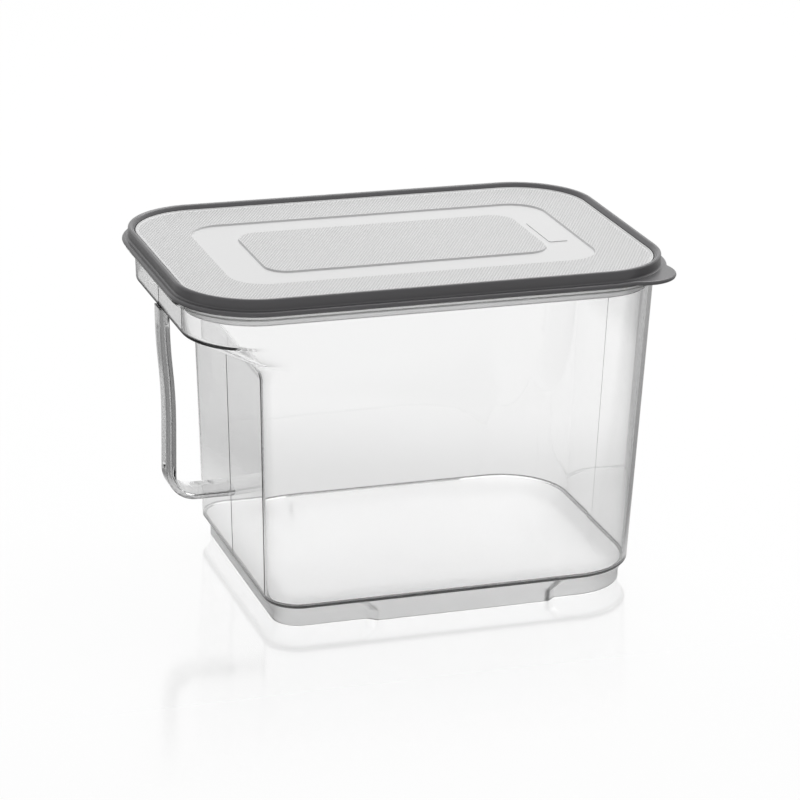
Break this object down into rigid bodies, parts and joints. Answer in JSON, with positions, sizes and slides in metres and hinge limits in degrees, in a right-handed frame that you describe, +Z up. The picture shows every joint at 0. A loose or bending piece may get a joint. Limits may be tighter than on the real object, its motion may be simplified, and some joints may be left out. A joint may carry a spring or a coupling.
{
  "type": "food storage box",
  "caption": "Clear plastic food storage box, rounded and tapered, with a side handle under a stepped end, a foot ring and a two-tone lift-off lid with a pull tab.",
  "frame": {"origin": "centre of the bounding box at the foot ring's lower face", "axes": "+Z up, X along the long side with the handle at -X, front at -Y"},
  "size_m": [0.25, 0.168, 0.1718],
  "materials": {
    "clear_plastic": "clear gloss",
    "clear_handle_plastic": "clear gloss",
    "dark_grey_rim": "satin",
    "light_grey_panel": "fine texture with a smooth band"
  },
  "bodies": {
    "box": {"container_body": "clear_plastic", "handle": "clear_handle_plastic"},
    "lid": {"lid_rim": "dark_grey_rim", "lid_panel": "light_grey_panel"}
  },
  "joints": [
    {"name": "lid_lift", "type": "slide", "parent": "box", "child": "lid", "axis": [0, 0, 1], "range_m": [0, 0.15]}
  ]
}
